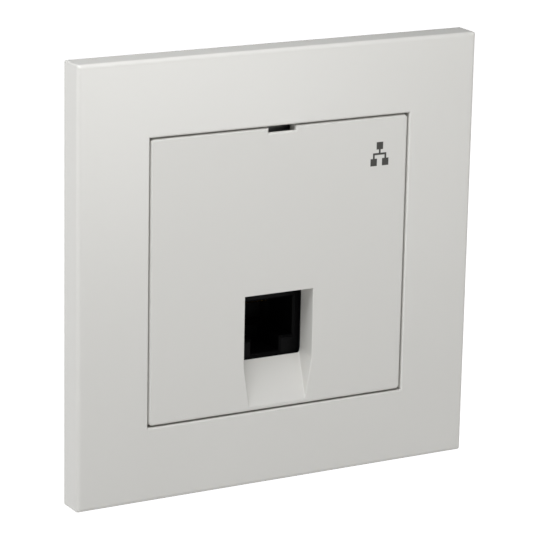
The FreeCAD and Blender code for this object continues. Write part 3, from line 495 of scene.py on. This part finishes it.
@dataclass(frozen=True)
class PlatedMetal:
    """A plated metal with faint rolling lines and blotches in its plating."""

    colour: Colour
    tarnish: Colour
    roughness: float
    line_size: float = 0.08 * MM
    line_stretch: float = 60.0
    line_detail: float = 2.0
    line_depth: float = 0.002 * MM
    line_gloss: float = 0.12
    blotch_size: float = 6 * MM
    blotch_detail: float = 4.0
    blotch_gloss: float = 0.16

    def make(self, name: str) -> bpy.types.Material:
        """Build the material.

        Args:
            name: Its name.

        Returns:
            The material.
        """
        surface = Surface(name)
        lines = surface.noise(self.line_size, self.line_detail, (self.line_stretch, 1.0, 1.0))
        blotch = surface.noise(self.blotch_size, self.blotch_detail)
        colour = surface.blend(blotch, self.tarnish, self.colour)
        rough = self.roughness + (lines - surface.NOISE_MIDDLE) * self.line_gloss
        rough = rough + (blotch - surface.NOISE_MIDDLE) * self.blotch_gloss
        normal = surface.bump(lines, self.line_depth)
        surface.set(base_color=colour, roughness=rough, normal=normal, metallic=1.0)
        return surface.material


@dataclass(frozen=True)
class BoardLaminate:
    """A circuit board: green lacquer on its faces, glass layers on its cut edge."""

    lacquer: Colour = (0.012, 0.11, 0.045)
    track: Colour = (0.02, 0.17, 0.07)
    track_size: float = 1.2 * MM
    track_detail: float = 0.0
    track_stretch: float = 6.0
    track_blur: float = 0.04
    track_depth: float = 0.02 * MM
    edge: Colour = (0.33, 0.32, 0.12)
    layer_size: float = 0.2 * MM
    layer_detail: float = 0.0
    layer_stretch: float = 30.0
    layer_shade: float = 0.6
    skin: float = 0.03 * MM
    blur: float = 0.02 * MM
    edge_roughness: float = 0.55
    face_gloss: float = 0.25

    def make(self, name: str) -> bpy.types.Material:
        """Build the material.

        Args:
            name: Its name.

        Returns:
            The material.
        """
        surface = Surface(name)
        _, depth, _ = surface.axes()
        front, back = (corner.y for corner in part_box("circuit_board"))
        inside = (back - front) / 2 - self.skin
        tracks = surface.noise(self.track_size, self.track_detail, (self.track_stretch, 1.0, 1.0))
        tracks = tracks.below(surface.NOISE_MIDDLE, self.track_blur)
        layers = surface.noise(self.layer_size, self.layer_detail,
                               (self.layer_stretch, 1.0, self.layer_stretch))
        faces = 1 - abs(depth - (front + back) / 2).below(inside, self.blur)
        face_colour = surface.blend(tracks, self.lacquer, self.track)
        dark_edge = tuple(self.layer_shade * part for part in self.edge)
        edge_colour = surface.blend(layers, self.edge, dark_edge)
        surface.set(base_color=surface.blend(faces, edge_colour, face_colour),
                    roughness=self.edge_roughness - faces * self.face_gloss,
                    normal=surface.bump(tracks, self.track_depth))
        return surface.material


WHITE: Colour = (0.70, 0.692, 0.658)
WHITE_SHADE: Colour = (0.68, 0.672, 0.638)
COARSE_GRAIN = 0.004 * MM

FRAME_WHITE = MouldedPlastic(WHITE, WHITE_SHADE, 0.24)
PLATE_WHITE = MouldedPlastic(WHITE, WHITE_SHADE, 0.44)
# The jack's near-black front colour is painted shade for its place behind the chute; its paler rear
# is the plastic's own tone.
JACK_BLACK = MouldedPlastic(
    (0.0024, 0.0024, 0.0027), (0.0016, 0.0016, 0.0018), 0.45, specular=0.06,
    grain_depth=COARSE_GRAIN, unshaded_rear=(0.016, 0.016, 0.017))
CARRIER_BLACK = MouldedPlastic(
    (0.012, 0.012, 0.013), (0.009, 0.009, 0.010), 0.45, specular=0.4, grain_depth=COARSE_GRAIN)
GREY_PLASTIC = MouldedPlastic(
    (0.040, 0.041, 0.044), (0.032, 0.033, 0.035), 0.45, grain_depth=COARSE_GRAIN)
ZINC_STEEL = PlatedMetal((0.62, 0.63, 0.65), (0.50, 0.51, 0.55), 0.38)
CONTACT_GOLD = PlatedMetal((0.83, 0.58, 0.20), (0.72, 0.47, 0.14), 0.24, line_stretch=1.0)
FORK_TIN = PlatedMetal((0.70, 0.69, 0.66), (0.58, 0.57, 0.54), 0.30)


def paint(nodes: Sequence[str], material: bpy.types.Material) -> None:
    """Give CAD nodes a finish.

    Args:
        nodes: The nodes' names.
        material: Their material.
    """
    for name in nodes:
        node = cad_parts[name]
        node.data.materials.clear()
        node.data.materials.append(material)
        log.info("dressed %s in %s", name, material.name)


@dataclass
class CoverSet:
    """The two white mouldings that show on the wall."""

    mark: PrintedMark = PrintedMark()

    def dress(self) -> None:
        """Give the frame and the centre plate their finish."""
        paint(["frame"], FRAME_WHITE.make("frame_white"))
        paint(["centre_plate"], PLATE_WHITE.make("plate_white", self.mark))


@dataclass
class ScrewSet:
    """The two small screws that hold the carrier; lengths are in millimetres."""

    node: str = "carrier_screws"
    head_height: float = 1.0
    head_dome: float = 0.5
    dome_power: float = 3.0
    shaft_radius: float = 1.2
    thread_depth: float = 0.25
    thread_pitch: float = 0.45
    tip_radius: float = 0.7
    slot_width: float = 0.6
    slot_depth: float = 0.6
    slot_reach: float = 3.0
    root_overlap: float = 0.3
    weld: float = 1e-4
    spin: float = 1.1
    spin_start: float = 0.4
    round_count: int = 48
    row_count: int = 120
    ring_count: int = 8
    sharp: float = 0.7

    def build(self, material: bpy.types.Material) -> bpy.types.Object:
        """Make both screws as one piece.

        Args:
            material: Their finish.

        Returns:
            The piece.
        """
        low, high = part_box(self.node)
        tree = ShapeTree("threaded_screws")
        # Both heads are centred at height zero, so the box's top gives their radius.
        head_radius = tree.size("Head radius", high.z / MM)
        length = tree.size("Shaft length", (high.y - low.y) / MM - self.head_height)
        head = self._head(tree, head_radius)
        shaft = self._shaft(tree, length)
        whole = tree.node("GeometryNodeMeshBoolean", {"operation": "UNION"}, {})
        for part in (head, shaft):
            split = tree.node("GeometryNodeTriangulate", {}, {0: part})
            tree.join(split.outputs[0], whole.inputs["Mesh 2"])
        slot = self._slot(tree, head_radius)
        cut = tree.node("GeometryNodeMeshBoolean", {"operation": "DIFFERENCE"},
                        {"Mesh 1": whole.outputs[0], "Mesh 2": slot})
        screw = tree.shaded(cut.outputs[0], self.sharp)
        offset = tree.size("Offset", (high.x - high.z) / MM)
        level = tree.size("Head seat", low.y / MM + self.head_height)
        return tree.make(self._pair(tree, screw, offset, level), material)

    def _head(self, tree: ShapeTree, radius: Num) -> bpy.types.NodeSocket:
        """A domed head on the plane of its seat.

        Args:
            tree: The screws' tree.
            radius: The head's radius.

        Returns:
            The head.
        """
        height = tree.size("Head height", self.head_height)
        dome = tree.size("Head dome", self.head_dome)
        drum = tree.node("GeometryNodeMeshCylinder", {"fill_type": "TRIANGLE_FAN"},
                         {"Vertices": self.round_count, "Fill Segments": self.ring_count,
                          "Radius": radius, "Depth": height})
        x, y, z = tree.place()
        reach = (x * x + y * y) ** 0.5 / radius
        fall = reach ** self.dome_power * dome * (z > 0.0)
        return tree.moved(drum.outputs["Mesh"], x, y, z + height / 2 - fall)

    def _shaft(self, tree: ShapeTree, length: Num) -> bpy.types.NodeSocket:
        """A threaded shaft below the seat's plane, closed at both ends.

        A unit sheet is rolled up, and its first and last rows are drawn to points.

        Args:
            tree: The screws' tree.
            length: The shaft's length.

        Returns:
            The shaft.
        """
        radius = tree.size("Shaft radius", self.shaft_radius)
        depth = tree.size("Thread depth", self.thread_depth)
        pitch = tree.size("Thread pitch", self.thread_pitch)
        tip = tree.size("Tip radius", self.tip_radius)
        sheet = tree.node("GeometryNodeMeshGrid", {},
                          {"Size X": 1.0, "Size Y": 1.0, "Vertices X": self.round_count + 1,
                           "Vertices Y": self.row_count})
        x, y, _ = tree.place()
        # Rows first to last are open rings; the one row beyond each closes its end.
        first, last = 1, self.row_count - 2
        row = (y + 0.5) * (self.row_count - 1)
        along = ((row - first) / (last - first)).higher(0.0).lower(1.0)
        full = length + self.root_overlap
        down = along * full
        # The minus sign turns the faces outwards and makes the thread a right-hand one.
        turn = x * -math.tau
        # Zero on the thread's crest, one at its root.
        ridge = abs((down / pitch - x).fraction() - 0.5) * 2
        reach = (radius - ridge * depth).lower(tip + (full - down))
        open_row = (row > first - 0.5) * (1 - (row > last + 0.5))
        spread = reach * open_row
        tube = tree.moved(sheet.outputs["Mesh"], spread * turn.cosine(), spread * turn.sine(),
                          self.root_overlap - down)
        welded = tree.node("GeometryNodeMergeByDistance", {},
                           {"Geometry": tube, "Distance": self.weld})
        return welded.outputs[0]

    def _slot(self, tree: ShapeTree, radius: Num) -> bpy.types.NodeSocket:
        """The bar that is cut out of the head for a driver's blade.

        Args:
            tree: The screws' tree.
            radius: The head's radius.

        Returns:
            The bar.
        """
        width = tree.size("Slot width", self.slot_width)
        depth = tree.size("Slot depth", self.slot_depth)
        bar = tree.node("GeometryNodeMeshCube", {},
                        {"Size": tree.vector(radius * self.slot_reach, width, depth * 2)})
        x, y, z = tree.place()
        return tree.moved(bar.outputs["Mesh"], x, y, z + self.head_height)

    def _pair(self, tree: ShapeTree, screw: bpy.types.NodeSocket, offset: Num,
              level: Num) -> bpy.types.NodeSocket:
        """Set the screw at both places, heads to the room, with their slots at unlike angles.

        Args:
            tree: The screws' tree.
            screw: One screw along Z in millimetres.
            offset: Each screw's distance from the middle, in millimetres.
            level: The heads' seat along Y, in millimetres.

        Returns:
            Both screws as instances in metres.
        """
        line = tree.node("GeometryNodeMeshLine", {"mode": "END_POINTS", "count_mode": "TOTAL"},
                         {"Count": 2, "Start Location": tree.vector(offset * -MM, level * MM, 0.0),
                          "Offset": tree.vector(offset * MM, level * MM, 0.0)})
        stood = tree.node("GeometryNodeInstanceOnPoints", {},
                          {"Points": line.outputs[0], "Instance": screw, "Scale": (MM, MM, MM),
                           "Rotation": (math.pi / 2, 0.0, 0.0)})
        count = Num(tree, tree.node("GeometryNodeInputIndex", {}, {}).outputs[0])
        spin = tree.vector(0.0, 0.0, (count + self.spin_start) * self.spin)
        turned = tree.node("GeometryNodeRotateInstances", {},
                           {"Instances": stood.outputs[0], "Local Space": True, "Rotation": spin})
        return turned.outputs[0]


@dataclass
class MountingSet:
    """The steel plate, the carrier and its screws, hidden behind the cover."""

    screws: ScrewSet = field(default_factory=ScrewSet)

    def dress(self) -> None:
        """Give the hidden mounting parts their finish and set the threaded screws."""
        steel = ZINC_STEEL.make("zinc_steel")
        paint(["mounting_plate"], steel)
        paint(["module_carrier"], CARRIER_BLACK.make("carrier_black"))
        pair = self.screws.build(steel)
        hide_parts(self.screws.node)
        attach(pair, "root")
        log.info("set %s, %d faces", pair.name, len(pair.data.polygons))


@dataclass
class JackSet:
    """The jack with its contacts, board, terminal block and cap."""

    contacts: int = 8

    def numbered(self, stem: str) -> list[str]:
        """Names of the contacts of one kind."""
        return [f"{stem}_{number}" for number in range(1, self.contacts + 1)]

    def dress(self) -> None:
        """Give the jack's parts their finish."""
        paint(["jack_housing", "contact_comb"], JACK_BLACK.make("jack_black"))
        paint(self.numbered("spring_contact"), CONTACT_GOLD.make("contact_gold"))
        paint(self.numbered("idc_contact"), FORK_TIN.make("fork_tin"))
        paint(["circuit_board"], BoardLaminate().make("board_laminate"))
        paint(["idc_block", "wire_cap"], GREY_PLASTIC.make("terminal_grey"))


@dataclass(frozen=True)
class Softbox:
    """One square studio light."""

    name: str
    place: Point
    side: float
    power: float
    colour: Colour = (1.0, 1.0, 1.0)

    def build(self, target: Vector) -> None:
        """Hang the light and turn it to the object.

        Args:
            target: The point it faces.
        """
        lamp = bpy.data.lights.new(self.name, "AREA")
        lamp.shape = "SQUARE"
        lamp.size = self.side
        lamp.energy = self.power
        lamp.color = self.colour
        made = bpy.data.objects.new(self.name, lamp)
        made.location = self.place
        made.rotation_euler = (target - Vector(self.place)).to_track_quat("-Z", "Y").to_euler()
        bpy.context.scene.collection.objects.link(made)


@dataclass
class Studio:
    """Floor, light and camera."""

    floor_level: float = -0.30
    floor_half: float = 6.0
    floor_colour: Colour = (0.9, 0.9, 0.9)
    floor_glow: float = 1.09
    dim_glow: float = 0.19
    dim_reach: float = 0.45
    dim_blur: float = 0.3
    sky_colour: Colour = (1.0, 1.0, 1.0)
    sky: float = 0.05
    sky_seen: float = 1.09
    lights: tuple[Softbox, ...] = (
        Softbox("key", (-0.12, -0.10, 0.28), 0.20, 0.49, (0.985, 1.0, 1.045)),
        Softbox("roof", (-0.07, -0.06, 0.22), 0.12, 0.21),
        Softbox("front", (-0.06, -0.25, 0.35), 0.25, 0.30),
        Softbox("side", (-0.50, 0.10, 0.05), 0.40, 0.46, (0.99, 1.0, 1.02)),
        Softbox("edge", (-0.42, -0.24, -0.165), 0.12, 0.06),
        Softbox("gloss", (0.22, -0.50, -0.05), 0.15, 0.19),
    )
    target: Point = (0.0, 0.0, 0.0)
    lens: float = 187.577
    sensor: float = 36.0
    clip: tuple[float, float] = (0.01, 50.0)
    eye: Point = (-0.25390, -0.45147, 0.13879)
    right: Point = (0.87325, -0.48689, 0.01929)
    up: Point = (0.11114, 0.23755, 0.96500)
    back: Point = (-0.47443, -0.84054, 0.26155)

    def build(self) -> None:
        """Set up the whole studio."""
        self._lay_floor()
        self._light()
        self._place_camera()

    def _lay_floor(self) -> None:
        """A plain pale floor well below the socket, which glows less right under it."""
        mesh = bpy.data.meshes.new("floor")
        half, level = self.floor_half, self.floor_level
        corners = [(-half, -half), (half, -half), (half, half), (-half, half)]
        mesh.from_pydata([(*corner, level) for corner in corners], [], [(0, 1, 2, 3)])
        surface = Surface("floor_pale")
        x, y, _ = surface.axes()
        # Squares of distances are compared, so the blur is one of squares too.
        under = (x * x + y * y).below(self.dim_reach ** 2, self.dim_blur)
        glow = surface.blend(under, (self.floor_glow,) * 3, (self.dim_glow,) * 3)
        surface.set(base_color=self.floor_colour, roughness=1.0, emission_color=glow,
                    emission_strength=1.0)
        mesh.materials.append(surface.material)
        floor = bpy.data.objects.new("floor", mesh)
        bpy.context.scene.collection.objects.link(floor)

    def _hang_sky(self) -> None:
        """An even dim sky that the camera itself sees as white."""
        world = bpy.data.worlds.new("white_sky")
        world.use_nodes = True
        maker = NodeMaker(world.node_tree)
        maker.tree.nodes.clear()
        seen = maker.node("ShaderNodeLightPath", {}, {}).outputs["Is Camera Ray"]
        colour = (*self.sky_colour, 1.0)
        dim, bright = (
            maker.node("ShaderNodeBackground", {}, {"Color": colour, "Strength": strength})
            for strength in (self.sky, self.sky_seen))
        mix = maker.node("ShaderNodeMixShader", {},
                         {0: seen, 1: dim.outputs[0], 2: bright.outputs[0]})
        maker.node("ShaderNodeOutputWorld", {}, {"Surface": mix.outputs[0]})
        bpy.context.scene.world = world

    def _light(self) -> None:
        """The sky and the soft lights, with colours shown as they are."""
        self._hang_sky()
        bpy.context.scene.view_settings.view_transform = "Standard"
        for light in self.lights:
            light.build(Vector(self.target))

    def _place_camera(self) -> None:
        """A long lens to the left of the socket and a little above it."""
        data = bpy.data.cameras.new("camera")
        data.lens = self.lens
        data.sensor_width = self.sensor
        data.clip_start, data.clip_end = self.clip
        camera = bpy.data.objects.new("camera", data)
        turn = Matrix((self.right, self.up, self.back)).transposed().to_4x4()
        camera.matrix_world = Matrix.Translation(self.eye) @ turn
        bpy.context.scene.collection.objects.link(camera)
        bpy.context.scene.camera = camera


def main() -> None:
    """Build and dress every sub-assembly in order."""
    logging.basicConfig(level=logging.INFO, format="%(name)s: %(message)s")
    for part in (CoverSet(), MountingSet(), JackSet()):
        part.dress()
    Studio().build()


if __name__ == "__main__":
    main()
